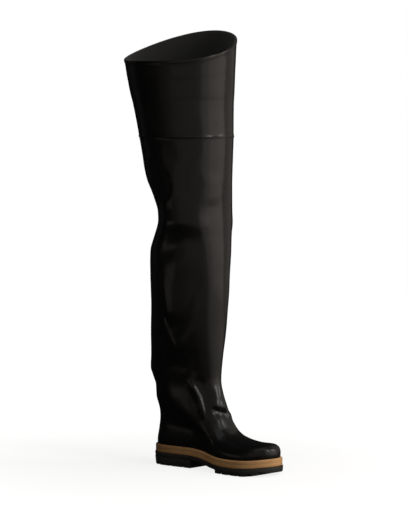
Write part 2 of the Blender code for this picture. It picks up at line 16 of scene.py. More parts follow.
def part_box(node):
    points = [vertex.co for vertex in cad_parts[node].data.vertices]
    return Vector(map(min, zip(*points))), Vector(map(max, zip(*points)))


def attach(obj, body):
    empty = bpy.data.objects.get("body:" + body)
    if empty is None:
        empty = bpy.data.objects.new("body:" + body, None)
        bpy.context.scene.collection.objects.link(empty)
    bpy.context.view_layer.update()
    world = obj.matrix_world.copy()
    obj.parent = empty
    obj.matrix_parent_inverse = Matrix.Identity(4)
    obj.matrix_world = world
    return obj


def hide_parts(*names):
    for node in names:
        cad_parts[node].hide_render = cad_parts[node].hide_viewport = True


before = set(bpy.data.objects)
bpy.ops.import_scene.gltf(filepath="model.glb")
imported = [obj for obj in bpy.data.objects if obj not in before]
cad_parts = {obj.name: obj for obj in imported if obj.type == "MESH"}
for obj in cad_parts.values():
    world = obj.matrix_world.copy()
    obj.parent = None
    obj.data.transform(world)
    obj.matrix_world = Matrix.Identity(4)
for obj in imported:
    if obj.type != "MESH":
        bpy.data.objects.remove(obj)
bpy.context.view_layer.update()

# Upper ends of the tan band and of the rubber upper, from the frame
BAND_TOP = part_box("midsole_band")[1].z
UPPER_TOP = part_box("upper")[1].z

# Middle line of the leg, from the toe up to the collar
LEG_MIDDLE = (
    (0.006, -0.130, 0.040),
    (0.006, -0.080, 0.046),
    (0.005, -0.030, 0.064),
    (0.004, 0.020, 0.095),
    (0.0035, 0.045, 0.136),
    (0.0040, 0.055, 0.190),
    (0.0062, 0.053, 0.244),
    (0.0073, 0.049, 0.325),
    (0.0073, 0.047, 0.407),
    (0.0062, 0.036, 0.460),
    (0.0048, 0.034, 0.500),
    (0.0027, 0.047, 0.556),
    (0.0012, 0.050, 0.611),
    (-0.0015, 0.056, 0.680),
    (-0.0065, 0.061, 0.775),
    (-0.0065, 0.061, 0.835),
)
# Point of that line at the ankle, where the leg begins
ANKLE = 4
# How far out from the line a ray towards the rubber starts, well clear of it
RAY_START = 0.5

# Creases of the rubber, each one a lift with two soft flanks, in metres. A lift
# below zero is a trough. The crease runs through points given as a turn round the leg in degrees
# (0 back, 90 outer side, 180 front, 270 inner side) and a height. The first flank lies where the
# turn falls on a crease that runs down the leg, and below a crease that runs on round it.
CREASES = (
    # Crisp ridge from the ankle down the inner side of the instep
    ("instep_ridge", 0.0044, 0.0036, 0.0095,
     ((224, 0.177), (219, 0.163), (213, 0.147), (208, 0.129), (205, 0.107), (205, 0.092))),
    ("instep_hollow", -0.0016, 0.0070, 0.0070, ((210, 0.184), (206, 0.166), (201, 0.146), (197, 0.128))),
    # Swelling down the front of the ankle, and the dimple under it
    ("ankle_front", 0.0018, 0.0100, 0.0110, ((171, 0.180), (176, 0.160), (184, 0.140), (187, 0.124))),
    ("ankle_roll", 0.0018, 0.0045, 0.0085, ((168, 0.119), (178, 0.1205), (188, 0.123), (198, 0.127))),
    ("ankle_dimple", -0.0042, 0.0130, 0.0048,
     ((167, 0.104), (176, 0.107), (184, 0.110), (192, 0.1135), (200, 0.117))),
    # Plane of the instep's inner side, from the back of the ankle down to the ball
    ("side_plane", 0.0046, 0.0240, 0.0100,
     ((322, 0.172), (306, 0.145), (270, 0.120), (240, 0.106), (227, 0.098), (204, 0.072), (198, 0.052))),
    ("side_plane_top", -0.0015, 0.0110, 0.0200,
     ((222, 0.186), (230, 0.194), (245, 0.198), (261, 0.198), (285, 0.195), (312, 0.189))),
    # Bow-shaped plane edge at the inner side of the knee, and its hollow
    ("knee_bow", 0.0026, 0.0190, 0.0062,
     ((296, 0.600), (280, 0.595), (266, 0.588), (254, 0.568), (251, 0.544), (258, 0.520), (272, 0.506),
      (288, 0.498))),
    ("knee_hollow", -0.0026, 0.0140, 0.0160, ((298, 0.586), (284, 0.566), (280, 0.542), (290, 0.520))),
    ("knee_cap_edge", 0.0010, 0.0140, 0.0050,
     ((212, 0.600), (221, 0.582), (228, 0.558), (229, 0.536), (225, 0.516))),
    ("knee_cap", 0.0016, 0.0200, 0.0200, ((190, 0.566), (198, 0.530), (196, 0.500))),
    ("knee_back_fold", -0.0034, 0.0120, 0.0120, ((322, 0.470), (345, 0.482), (8, 0.485), (36, 0.474))),
    ("knee_back_lip", 0.0024, 0.0080, 0.0180, ((316, 0.500), (344, 0.508), (12, 0.509), (42, 0.498))),
    # Change of plane round the front under the knee, and the hollow that runs down behind it
    ("under_knee", 0.0030, 0.0170, 0.0200,
     ((196, 0.460), (214, 0.464), (234, 0.468), (261, 0.472), (280, 0.470), (300, 0.464))),
    ("under_knee_dip", -0.0028, 0.0190, 0.0200,
     ((216, 0.450), (232, 0.442), (250, 0.430), (270, 0.416), (294, 0.400))),
    # Narrow trough down the inner side of the shin, with the calf's plane behind it
    ("shin_dip", -0.0022, 0.0075, 0.0090,
     ((210, 0.388), (214, 0.360), (216, 0.335), (221, 0.308), (227, 0.279), (236, 0.254), (244, 0.236))),
    ("calf_plane", 0.0030, 0.0220, 0.0100,
     ((284, 0.392), (276, 0.356), (271, 0.322), (266, 0.292), (258, 0.266))),
    ("calf_line", 0.0018, 0.0032, 0.0140,
     ((284, 0.298), (276, 0.278), (266, 0.258), (256, 0.239), (247, 0.223))),
    ("calf_dip", -0.0018, 0.0160, 0.0160, ((304, 0.268), (290, 0.240), (276, 0.218))),
    ("low_shin_dip", -0.0014, 0.0080, 0.0110, ((218, 0.236), (216, 0.212), (213, 0.190), (208, 0.172))),
    # Folds round the back of the ankle, above the heel
    ("tendon_dip", -0.0034, 0.0120, 0.0150, ((312, 0.158), (338, 0.155), (4, 0.155), (34, 0.162))),
    ("tendon_lip", 0.0020, 0.0080, 0.0180, ((306, 0.190), (338, 0.184), (6, 0.184), (44, 0.190))),
    ("heel_lip", 0.0016, 0.0160, 0.0080, ((316, 0.132), (342, 0.128), (8, 0.128), (38, 0.136))),
    # Outer side of the foot: two slanting folds from the ankle to the vamp
    ("outer_fold_high", 0.0022, 0.0100, 0.0034, ((132, 0.142), (146, 0.124), (158, 0.106), (168, 0.090))),
    ("outer_fold_low", 0.0020, 0.0120, 0.0042, ((118, 0.128), (134, 0.110), (148, 0.093), (160, 0.080))),
    ("outer_fold_dip", -0.0018, 0.0060, 0.0060, ((126, 0.134), (140, 0.116), (153, 0.099), (164, 0.085))),
    ("outer_side_plane", 0.0028, 0.0100, 0.0180, ((46, 0.160), (64, 0.146), (90, 0.124), (118, 0.100))),
    # Outer side of the leg: the same kinds of planes as on the inner side
    ("outer_shin_line", 0.0014, 0.0160, 0.0050, ((72, 0.324), (86, 0.290), (104, 0.254), (124, 0.220))),
    ("outer_shin_dip", -0.0016, 0.0120, 0.0120, ((86, 0.338), (104, 0.300), (126, 0.262), (142, 0.228))),
    ("outer_calf_plane", 0.0022, 0.0120, 0.0220, ((82, 0.396), (88, 0.350), (94, 0.306))),
    ("outer_knee_bow", 0.0022, 0.0070, 0.0190,
     ((66, 0.604), (86, 0.586), (102, 0.564), (106, 0.540), (98, 0.516), (82, 0.498))),
    ("outer_knee_hollow", -0.0024, 0.0160, 0.0140, ((62, 0.584), (76, 0.562), (80, 0.540), (70, 0.516))),
    ("outer_under_knee", 0.0020, 0.0080, 0.0200, ((58, 0.452), (86, 0.458), (114, 0.460), (142, 0.458))),
    # Slow dents of the thigh
    ("outer_thigh_dip", -0.0016, 0.0260, 0.0260, ((128, 0.628), (116, 0.600), (124, 0.570))),
    ("inner_thigh_dip", -0.0014, 0.0260, 0.0260, ((244, 0.622), (254, 0.606), (236, 0.588))),
)
# Share of its length over which a crease fades out at each end
CREASE_END = 0.32
# Distance at which a crease has died away, in widths of its wider flank
CREASE_REACH = 2.6
# Steps of a crease's curve between two of its points
PATH_STEPS = 10

# Creases that need finer faces beside them, and the distance to which the faces are split
SHARP_CREASES = ("instep_ridge", "ankle_dimple", "calf_line")
NARROW_CREASES = (*SHARP_CREASES, "outer_fold_high", "outer_fold_low", "knee_bow")
SHARP_REACH = 0.0055
NARROW_REACH = 0.009

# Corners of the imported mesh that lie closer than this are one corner
MERGE_DISTANCE = 0.00002
# Inward turn at which an edge of the tan band is the bottom of a groove, in degrees, and how far
# the bottom comes out
GROOVE_TURN = 12
GROOVE_FILL = 0.0006

# Upright edges of the outer face that are longer than this, below the thigh, are halved
LONG_EDGE = 0.014
UPRIGHT_SHARE = 0.6
THIGH_HEIGHT = 0.60
# Edges of the upper that stay crisp: those of the foot, below this height
FOOT_HEIGHT = 0.06

# Slow unevenness of the rubber. It fades in above the tan band and nearly out at the collar.
UNDULATION = 0.0008
UNDULATION_SIZE = 0.055
BAND_FADE = 0.02
COLLAR_STEADY = 0.06
COLLAR_FADE = 0.08
COLLAR_SHARE = 0.15

# Where the edge of the toe cap lies along the foot, and its depth in the bump
TOE_CAP_EDGE = (-0.1352, -0.1334)
TOE_CAP_DEPTH = 0.0007

# Period of the weave across the webbing and along it
WEAVE_PITCH_ACROSS = 0.0016
WEAVE_PITCH_ALONG = 0.0020

# Stitches of the webbing
STITCH_PITCH = 0.0034
STITCH_LENGTH = 0.0026
STITCH_RADIUS = 0.0004
# How far outside the webbing a ray towards it starts
RAY_GAP = 0.02
# How far a seam lies in from the webbing's edge, and the step between the stitches of a seam
# that crosses the webbing, both as shares of its width
SEAM_INSET = 0.12
CROSS_STEP = 0.095
CROSS_STITCHES = 9

# Camera: turn round the boot from the toe, in degrees, and the point it looks at
CAMERA_TURN = -48.0
CAMERA_DISTANCE = 5.0
CAMERA_HEIGHT = 0.75
CAMERA_LENS = 186.0
LOOK_AT = (-0.0144, -0.0071, 0.408)

WARM = (1.0, 0.91, 0.80)
PALE = (1.0, 0.93, 0.84)
WHITE = (1.0, 1.0, 1.0)
# Soft lights: turn from the camera, distance, height, size, watts, height aimed at, and tint
SOFT_LIGHTS = (
    ("key", 77.0, 2.2, 0.82, (2.2, 1.64), 20.5, 0.60, WARM),
    ("key_left", 41.0, 2.2, 0.82, (0.9, 1.64), 5.2, 0.60, WARM),
    ("spark", 87.0, 2.0, 1.15, (0.5, 0.6), 5.5, 0.1, WHITE),
    ("glint", 50.0, 2.0, 1.40, (0.4, 0.8), 10.0, 0.14, WHITE),
    ("side", 128.0, 2.2, 1.1, (1.6, 2.4), 5.0, 0.40, WARM),
    ("fill_right", 0.0, 2.6, 1.1, (4.4, 2.4), 6.6, 0.40, PALE),
    ("fill_left", -26.0, 2.6, 1.1, (4.4, 2.4), 4.7, 0.40, PALE),
    ("low_left", -74.0, 1.0, 0.185, (0.48, 0.17), 0.17, 0.16, PALE),
    ("top", 10.0, 1.0, 2.7, (2.4, 2.4), 12.0, 0.1, WHITE),
    ("back", 236.0, 2.2, 1.1, (0.8, 2.2), 0.25, 0.45, WHITE),
)
# Lights that come up from the floor: turn from the camera, distance, size, watts and tint
FLOOR_LIGHTS = (
    ("bounce", -5.0, 2.3, (3.8, 2.6), 8.0, PALE),
    ("bounce_right", 75.0, 1.5, (2.4, 1.6), 11.0, WARM),
)
FLOOR_LIGHT_HEIGHT = 0.004
FLOOR_SIZE = 60.0
# Strength of the surroundings in reflections and in the light, and their tint there
DIM_SURROUNDINGS = 0.012
DIM_TINT = (0.95, 0.97, 1.0)

# Sockets of a Mix node that carry its two colours, and the colour that comes out
FIRST_COLOUR = 6
SECOND_COLOUR = 7
MIXED_COLOUR = 2


class Wire:
    """A socket of a material that takes part in arithmetic."""

    def __init__(self, finish, socket):
        self.finish = finish
        self.socket = socket

    def math(self, operation, *values):
        return self.finish.node("ShaderNodeMath", {"operation": operation}, dict(enumerate(values)))

    def __add__(self, other):
        return self.math("ADD", self, other)

    __radd__ = __add__

    def __sub__(self, other):
        return self.math("SUBTRACT", self, other)

    def __rsub__(self, other):
        return self.math("SUBTRACT", other, self)

    def __mul__(self, other):
        return self.math("MULTIPLY", self, other)

    __rmul__ = __mul__

    def wave(self):
        """Sine of the value."""
        return self.math("SINE", self)

    def clipped(self, low, high):
        """Goes from 0 to 1, smoothly, as the value goes from low to high."""
        settings = {"interpolation_type": "SMOOTHSTEP"}
        values = {"Value": self, "From Min": low, "From Max": high}
        return self.finish.node("ShaderNodeMapRange", settings, values)


def socket_name(words):
    """A shader socket's name from words joined by underscores."""
    return words.replace("_", " ").title().replace("Ior", "IOR")


class Finish:
    """A material on Object coordinates with one shader."""

    def __init__(self, name, **constants):
        self.material = bpy.data.materials.new(name)
        self.material.use_nodes = True
        self.tree = self.material.node_tree
        self.shader = self.tree.nodes["Principled BSDF"]
        for socket, value in constants.items():
            self.shader.inputs[socket_name(socket)].default_value = value
        self.place = self.node("ShaderNodeTexCoord", {}, {}, "Object")

    def node(self, kind, settings, values, output=0):
        """Adds a node: its settings first, then the values or links of its sockets."""
        made = self.tree.nodes.new(kind)
        for name, value in settings.items():
            setattr(made, name, value)
        for socket, value in values.items():
            self.feed(made.inputs[socket], value)
        return Wire(self, made.outputs[output])

    def feed(self, socket, value):
        """Links a socket to a wire, or gives it a value."""
        if isinstance(value, Wire):
            self.tree.links.new(value.socket, socket)
        else:
            socket.default_value = value

    def noise(self, size, detail, rough=0.5, place=None):
        """Noise whose lumps are about size metres across, from 0 to 1."""
        values = {"Vector": place or self.place, "Scale": 1 / size, "Detail": detail, "Roughness": rough}
        return self.node("ShaderNodeTexNoise", {}, values)

    def stretched(self, x, y, z):
        """Object coordinates scaled along each axis."""
        return self.node("ShaderNodeMapping", {}, {"Vector": self.place, "Scale": (x, y, z)})

    def axis(self, name):
        """One of the three Object coordinates."""
        return self.node("ShaderNodeSeparateXYZ", {}, {"Vector": self.place}, name)

    def mix(self, share, first, second):
        """A colour between two colours."""
        values = {"Factor": share, FIRST_COLOUR: first, SECOND_COLOUR: second}
        return self.node("ShaderNodeMix", {"data_type": "RGBA"}, values, MIXED_COLOUR)

    def bump(self, height, distance, strength, normal=None):
        """A normal bent by a height, on top of another bump where one is given."""
        values = {"Height": height, "Distance": distance, "Strength": strength}
        if normal is not None:
            values["Normal"] = normal
        return self.node("ShaderNodeBump", {}, values)

    def set(self, **links):
        """Feeds the shader's sockets and gives back the finished material."""
        for socket, value in links.items():
            self.feed(self.shader.inputs[socket_name(socket)], value)
        return self.material


def colour(red, green, blue):
    return (red, green, blue, 1.0)


def black_rubber():
    """Dip-made black rubber: satin, with a fine orange-peel skin, faint bloom and rub marks."""
    finish = Finish("black_rubber", specular_ior_level=0.12, coat_roughness=0.20)
    skin = finish.noise(0.0016, 2.0)
    fine = finish.noise(0.00045, 2.0)
    flow = finish.noise(0.030, 3.0, place=finish.stretched(1.0, 1.0, 0.35))
    bloom = finish.noise(0.060, 4.0).clipped(0.50, 0.78)
    low = 1 - finish.axis("Z").clipped(0.02, 0.16)
    rub = finish.noise(0.004, 5.0, 0.65, finish.stretched(1.0, 1.0, 0.5)).clipped(0.62, 0.74)
    dusty = bloom * 0.5 + rub * low * 0.6
    base = finish.mix(dusty, colour(0.0045, 0.0042, 0.0042), colour(0.012, 0.011, 0.010))
    rough = 0.37 + flow * 0.10 + bloom * 0.05 + rub * 0.10
    toe_cap = 1 - finish.axis("Y").clipped(*TOE_CAP_EDGE)
    bent = finish.bump(skin, 0.00010, 0.55)
    bent = finish.bump(fine, 0.00004, 0.45, bent)
    bent = finish.bump(toe_cap, TOE_CAP_DEPTH, 1.0, bent)
    return finish.set(base_color=base, roughness=rough, coat_weight=0.30 - 0.15 * bloom, normal=bent)


def felt_lining():
    """Short-napped dark grey lining cloth."""
    finish = Finish("felt_lining", sheen_weight=0.15, sheen_roughness=0.6)
    nap = finish.noise(0.0012, 4.0, 0.7)
    patch = finish.noise(0.018, 3.0)
    worn = nap * 0.6 + patch * 0.4
    base = finish.mix(worn, colour(0.008, 0.008, 0.008), colour(0.022, 0.021, 0.020))
    return finish.set(base_color=base, roughness=0.9 + 0.08 * nap, normal=finish.bump(nap, 0.0004, 0.7))


def tan_rubber():
    """Tan band: streaks along its length, a finely ground face, and painted shade that darkens it towards
    the heel.
    """
    finish = Finish("tan_rubber")
    streak = finish.noise(0.004, 4.0, 0.6, finish.stretched(0.12, 0.12, 2.2))
    grind = finish.noise(0.0010, 3.0, 0.6, finish.stretched(0.5, 0.5, 2.0))
    patch = finish.noise(0.025, 3.0).clipped(0.42, 0.68)
    speck = finish.noise(0.0018, 4.0, 0.6).clipped(0.64, 0.72)
    # Painted shade: the band is darkened towards the heel, where less light falls on it.
    shade_towards_heel = finish.axis("Y").clipped(-0.06, 0.15)
    clean = finish.mix(streak, colour(0.47, 0.238, 0.088), colour(0.76, 0.44, 0.19))
    worn = finish.mix(patch, clean, colour(0.55, 0.290, 0.112))
    painted_heel_shade = finish.mix(shade_towards_heel * 0.62, worn, colour(0.13, 0.060, 0.018))
    base = finish.mix(speck * 0.5, painted_heel_shade, colour(0.16, 0.085, 0.04))
    bent = finish.bump(streak, 0.0005, 0.5)
    bent = finish.bump(grind, 0.00015, 0.5, bent)
    return finish.set(base_color=base, roughness=0.56 + 0.2 * grind, normal=bent)


def sole_rubber():
    """Matt black tread rubber with a little dust in its pores and pale scuffs low down."""
    finish = Finish("sole_rubber", ior=1.5)
    grain = finish.noise(0.0012, 3.0, 0.6)
    patch = finish.noise(0.012, 4.0, 0.6)
    low = 1 - finish.axis("Z").clipped(0.0, 0.012)
    scuff = finish.noise(0.003, 5.0, 0.7, finish.stretched(1.0, 1.0, 0.4)).clipped(0.56, 0.70)
    plain = finish.mix(patch, colour(0.011, 0.011, 0.0095), colour(0.024, 0.023, 0.019))
    base = finish.mix(scuff * (0.25 + 0.5 * low), plain, colour(0.075, 0.070, 0.058))
    bent = finish.bump(grain, 0.0003, 0.6)
    return finish.set(base_color=base, roughness=0.58 + 0.25 * patch, normal=bent)


def black_webbing():
    """Plain-woven webbing: ribs across its width with threads between."""
    finish = Finish("black_webbing", sheen_weight=0.3, sheen_roughness=0.5)
    warp = (finish.axis("Y") * (2 * math.pi / WEAVE_PITCH_ACROSS)).wave()
    weft = (finish.axis("Z") * (2 * math.pi / WEAVE_PITCH_ALONG)).wave()
    weave = warp * weft * 0.5 + 0.5
    fuzz = finish.noise(0.0007, 3.0, 0.6)
    pale = weave * 0.6 + fuzz * 0.4
    base = finish.mix(pale, colour(0.008, 0.008, 0.009), colour(0.034, 0.034, 0.036))
    bent = finish.bump(weave, 0.0004, 0.8)
    bent = finish.bump(fuzz, 0.0002, 0.4, bent)
    return finish.set(base_color=base, roughness=0.72 + 0.2 * fuzz, normal=bent)


def strap_thread():
    """Dark sewing thread, a little paler than the webbing."""
    finish = Finish("strap_thread", sheen_weight=0.2)
    ply = finish.noise(0.0008, 2.0)
    base = finish.mix(ply, colour(0.015, 0.015, 0.016), colour(0.05, 0.05, 0.052))
    return finish.set(base_color=base, roughness=0.6 + 0.2 * ply, normal=finish.bump(ply, 0.0002, 0.6))


def ring_steel():
    """Nickel-plated wire with fine drawn scratches and a little tarnish."""
    finish = Finish("ring_steel", metallic=1.0)
    scratch = finish.noise(0.0008, 4.0, 0.7, finish.stretched(1.0, 0.2, 1.0))
    stain = finish.noise(0.006, 3.0).clipped(0.50, 0.75)
    base = finish.mix(stain, colour(0.66, 0.64, 0.61), colour(0.36, 0.32, 0.27))
    rough = 0.20 + 0.14 * scratch + 0.15 * stain
    return finish.set(base_color=base, roughness=rough, normal=finish.bump(scratch, 0.0001, 0.4))


def pale_floor():
    """Matt near-white sweep whose glow is lowered round the boot, a painted shadow there."""
    finish = Finish("pale_floor", specular_ior_level=0.0, emission_strength=1.0)
    tone = finish.noise(0.4, 2.0)
    # Painted shadow: the glow falls off towards the boot, darkening the floor round it.
    far = finish.node("ShaderNodeVectorMath", {"operation": "LENGTH"}, {0: finish.place}, "Value")
    glow_with_painted_shadow = finish.mix(far.clipped(0.10, 1.0), colour(0.83, 0.83, 0.83), colour(1.0, 1.0, 1.0))
    base = finish.mix(tone, colour(0.27, 0.27, 0.27), colour(0.29, 0.29, 0.29))
    return finish.set(base_color=base, roughness=0.9, emission_color=glow_with_painted_shadow)


def only(piece):
    """Leaves one piece selected and active."""
    bpy.ops.object.select_all(action="DESELECT")
    piece.select_set(True)
    bpy.context.view_layer.objects.active = piece


def open_all(piece):
    """Opens a piece in edit mode with everything selected."""
    only(piece)
    bpy.ops.object.mode_set(mode="EDIT")
    bpy.ops.mesh.select_all(action="SELECT")


def copied(node, name):
    """A new piece from a CAD node's mesh, merged and with its faces made four-sided."""
    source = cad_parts[node]
    piece = bpy.data.objects.new(name, source.data.copy())
    piece.data.name = name
    bpy.context.scene.collection.objects.link(piece)
    open_all(piece)
    bpy.ops.mesh.remove_doubles(threshold=MERGE_DISTANCE)
    bpy.ops.mesh.tris_convert_to_quads(
        face_threshold=math.radians(40), shape_threshold=math.radians(180)
    )
    bpy.ops.object.mode_set(mode="OBJECT")
    piece.data.materials.clear()
    return piece


def finish_piece(piece, node, slot, *materials):
    """Gives a piece its materials and its body, and hides the CAD node that it stands for."""
    for material in materials:
        piece.data.materials.append(material)
    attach(piece, "root")
    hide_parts(node)


def subdivided(piece):
    """Rounds a piece by two steps of subdivision."""
    only(piece)
    smooth = piece.modifiers.new("smooth", "SUBSURF")
    smooth.levels = 2
    smooth.render_levels = 2
    bpy.ops.object.modifier_apply(modifier=smooth.name)


def bevelled(piece, width, angle):
    """Rounds the edges that turn more than an angle."""
    only(piece)
    bevel = piece.modifiers.new("edges", "BEVEL")
    bevel.width = width
    bevel.segments = 2
    bevel.limit_method = "ANGLE"
    bevel.angle_limit = math.radians(angle)
    bevel.use_clamp_overlap = True
    bpy.ops.object.modifier_apply(modifier=bevel.name)


def shaded(piece, angle):
    """Smooth shading that keeps the edges that turn more than an angle."""
    piece.data.shade_smooth()
    only(piece)
    bpy.ops.object.shade_smooth_by_angle(angle=math.radians(angle))


def opened(piece):
    """The piece's mesh, open for shaping."""
    mesh = bmesh.new()
    mesh.from_mesh(piece.data)
    return mesh


def closed(mesh, data):
    """Writes a shaped mesh back."""
    mesh.to_mesh(data)
    mesh.free()


def crease_sharp_edges(mesh, angle, amount, below=math.inf):
    """Creases the edges that turn more than an angle, so that subdivision keeps the profile."""
    layer = mesh.edges.layers.float.new("crease_edge")
    for edge in mesh.edges:
        if len(edge.link_faces) == 2 and edge.calc_face_angle(0.0) > math.radians(angle):
            if max(vert.co.z for vert in edge.verts) < below:
                edge[layer] = amount


def vectors(rows, name):
    """One vector of each vertex or face, as the rows of an array."""
    flat = np.empty(len(rows) * 3, np.float32)
    rows.foreach_get(name, flat)
    return flat.reshape(-1, 3).astype(float)


def surface(piece):
    """The faces of a piece, for casting rays at them."""
    spots = [vert.co.copy() for vert in piece.data.vertices]
    return BVHTree.FromPolygons(spots, [tuple(face.vertices) for face in piece.data.polygons])


def finder_of(spots):
    """Finds the nearest of some spots."""
    finder = KDTree(len(spots))
    for i, spot in enumerate(spots):
        finder.insert(spot, i)
    finder.balance()
    return finder


def middle_points(points):
    """Nearest point of the leg's middle line to each point."""
    line = np.array(LEG_MIDDLE)
    best = np.full(len(points), np.inf)
    nearest = np.empty_like(points)
    for a, b in zip(line[:-1], line[1:]):
        way = b - a
        share = np.clip((points - a) @ way / (way @ way), 0.0, 1.0)
        spot = a + share[:, None] * way
        far = np.linalg.norm(points - spot, axis=1)
        closer = far < best
        best[closer] = far[closer]
        nearest[closer] = spot[closer]
    return nearest


def leg_middle_at(height):
    """Middle of the leg at a height, above the ankle, and below it the ankle's."""
    leg = np.array(LEG_MIDDLE[ANKLE:])
    return [float(np.interp(height, leg[:, 2], leg[:, k])) for k in (0, 1)]


def on_rubber(tree, turn, height):
    """Point and normal of the upper's outer face at a turn round the leg and a height."""
    x, y = leg_middle_at(height)
    way = Vector((math.sin(math.radians(turn)), math.cos(math.radians(turn)), 0.0))
    start = Vector((x, y, height)) + way * RAY_START
    spot, normal, _, _ = tree.ray_cast(start, -way)
    if spot is None:
        raise ValueError(f"no rubber at turn {turn}, height {height}")
    return spot, normal


def smooth_path(points):
    """A curve through given points."""
    points = [np.array(p) for p in points]
    ends = [2 * points[0] - points[1], *points, 2 * points[-1] - points[-2]]
    path = []
    for a, b, c, d in zip(ends[:-3], ends[1:-2], ends[2:-1], ends[3:]):
        first = c - a
        second = 2 * a - 5 * b + 4 * c - d
        third = 3 * b - a - 3 * c + d
        for t in np.linspace(0, 1, PATH_STEPS, endpoint=False):
            path.append(0.5 * (2 * b + first * t + second * t**2 + third * t**3))
    path.append(points[-1])
    return path


def unwound(marks):
    """The marks with their turns made to run on past 360 degrees."""
    turns = np.degrees(np.unwrap(np.radians([m[0] for m in marks])))
    return [(float(t), m[1]) for t, m in zip(turns, marks)]


def crease_path(tree, marks):
    """Points and normals of the rubber along a crease."""
    return [on_rubber(tree, turn, height) for turn, height in smooth_path(unwound(marks))]


def crease_lift(points, tree):
    """How far each point of the upper moves out, from all the creases."""
    lift = np.zeros(len(points))
    for _, height, first, second, marks in CREASES:
        hits = crease_path(tree, marks)
        path = np.array([hit[0] for hit in hits])
        outward = np.array([hit[1] for hit in hits])
        side = np.cross(np.gradient(path, axis=0), outward)
        side /= np.linalg.norm(side, axis=1, keepdims=True)
        finder = finder_of(path)
        reach = CREASE_REACH * max(first, second)
        near = ((points > path.min(0) - reach) & (points < path.max(0) + reach)).all(1)
        for i in np.where(near)[0]:
            _, place, distance = finder.find(points[i])
            share = place / (len(path) - 1)
            end = min(share, 1 - share) / CREASE_END
            taper = 1.0 if end > 1 else end * end * (3 - 2 * end)
            flank = second if (points[i] - path[place]) @ side[place] > 0 else first
            lift[i] += height * taper * math.exp(-((distance / flank) ** 2))
    return lift


def undulation(points):
    """Slow unevenness of the rubber, from -1 to 1, calm at the band and at the collar."""
    height = points[:, 2]
    calm = np.clip((height - BAND_TOP) / BAND_FADE, 0.0, 1.0)
    calm *= np.clip((UPPER_TOP - COLLAR_STEADY - height) / COLLAR_FADE, COLLAR_SHARE, 1.0)
    return calm * np.array([noise.noise(Vector(p) / UNDULATION_SIZE) for p in points])


def halve_long_edges(mesh):
    """Halves the long upright edges of the outer face below the thigh."""
    long_edges = []
    for edge in mesh.edges:
        way = edge.verts[1].co - edge.verts[0].co
        middle = (edge.verts[0].co + edge.verts[1].co) / 2
        outward = (middle - Vector(middle_points(np.array([middle]))[0])).normalized()
        faces_out = sum(face.normal.dot(outward) for face in edge.link_faces) > 0
        upright = abs(way.z) > UPRIGHT_SHARE * way.length
        if faces_out and upright and way.length > LONG_EDGE and middle.z < THIGH_HEIGHT:
            long_edges.append(edge)
    bmesh.ops.subdivide_edges(mesh, edges=long_edges, cuts=1, use_grid_fill=True)


def refine_near(piece, tree, names, reach):
    """Splits the faces beside some creases, so that they have room for their shape."""
    spots = []
    for name, _, _, _, marks in CREASES:
        if name in names:
            spots += [spot for spot, _ in crease_path(tree, marks)]
    finder = finder_of(spots)
    mesh = opened(piece)
    near = [e for e in mesh.edges if finder.find((e.verts[0].co + e.verts[1].co) / 2)[2] < reach]
    bmesh.ops.subdivide_edges(mesh, edges=near, cuts=1, smooth=0.0, use_grid_fill=True)
    closed(mesh, piece.data)


def press_creases(boot, tree):
    """Moves both faces of the upper's wall by its creases and its slow unevenness."""
    points = vectors(boot.data.vertices, "co")
    normals = vectors(boot.data.vertex_normals, "vector")
    faces_out = (normals * (points - middle_points(points))).sum(1) > 0
    way = np.where(faces_out[:, None], normals, -normals)
    lift = crease_lift(points, tree) + UNDULATION * undulation(points)
    moved = np.asarray(points + way * lift[:, None], np.float32)
    boot.data.vertices.foreach_set("co", moved.ravel())
    boot.data.update()


def line_inside(boot):
    """Gives the faces that look inwards the upper's second material, the lining."""
    centres = vectors(boot.data.polygons, "center")
    ways = vectors(boot.data.polygons, "normal")
    inside = (ways * (centres - middle_points(centres))).sum(1) < 0
    boot.data.polygons.foreach_set("material_index", inside.astype(np.int32))


def make_boot_upper(rubber, lining):
    """The black rubber upper with its creases, and the lining inside it."""
    boot = copied("upper", "boot_upper")
    mesh = opened(boot)
    halve_long_edges(mesh)
    crease_sharp_edges(mesh, 60, 1.0, FOOT_HEIGHT)
    closed(mesh, boot.data)
    tree = surface(boot)
    subdivided(boot)
    refine_near(boot, tree, NARROW_CREASES, NARROW_REACH)
    refine_near(boot, tree, SHARP_CREASES, SHARP_REACH)
    press_creases(boot, tree)
    finish_piece(boot, "upper", "black_rubber", rubber, lining)
    line_inside(boot)
    boot.data.shade_smooth()


def fill_grooves(mesh):
    """Moves the bottom of each groove outwards, so that it stays a faint line."""
    mesh.normal_update()
    inward = -math.radians(GROOVE_TURN)
    bottom = set()
    for edge in mesh.edges:
        if len(edge.link_faces) == 2 and edge.calc_face_angle_signed(0.0) < inward:
            bottom.update(edge.verts)
    for vert in bottom:
        vert.co += Vector((vert.normal.x, vert.normal.y, 0.0)).normalized() * GROOVE_FILL


def make_band(rubber):
    """Tan band between the upper and the tread."""
    band = copied("midsole_band", "tan_band")
    mesh = opened(band)
    fill_grooves(mesh)
    closed(mesh, band.data)
    mesh = opened(band)
    crease_sharp_edges(mesh, 20, 0.75)
    closed(mesh, band.data)
    subdivided(band)
    finish_piece(band, "midsole_band", "tan_rubber", rubber)
    band.data.shade_smooth()


def make_tread(node, name, rubber):
    """Sole piece with softened edges."""
    tread = copied(node, name)
    open_all(tread)
    bpy.ops.mesh.dissolve_limited(angle_limit=math.radians(2))
    bpy.ops.object.mode_set(mode="OBJECT")
    bevelled(tread, 0.0005, 35)
    finish_piece(tread, node, "sole_rubber", rubber)
    shaded(tread, 30)


def make_insole(felt):
    """Felt board that lies on the band inside the upper."""
    insole = copied("insole", "felt_insole")
    mesh = opened(insole)
    crease_sharp_edges(mesh, 40, 0.6)
    closed(mesh, insole.data)
    subdivided(insole)
    finish_piece(insole, "insole", "felt_lining", felt)
    insole.data.shade_smooth()


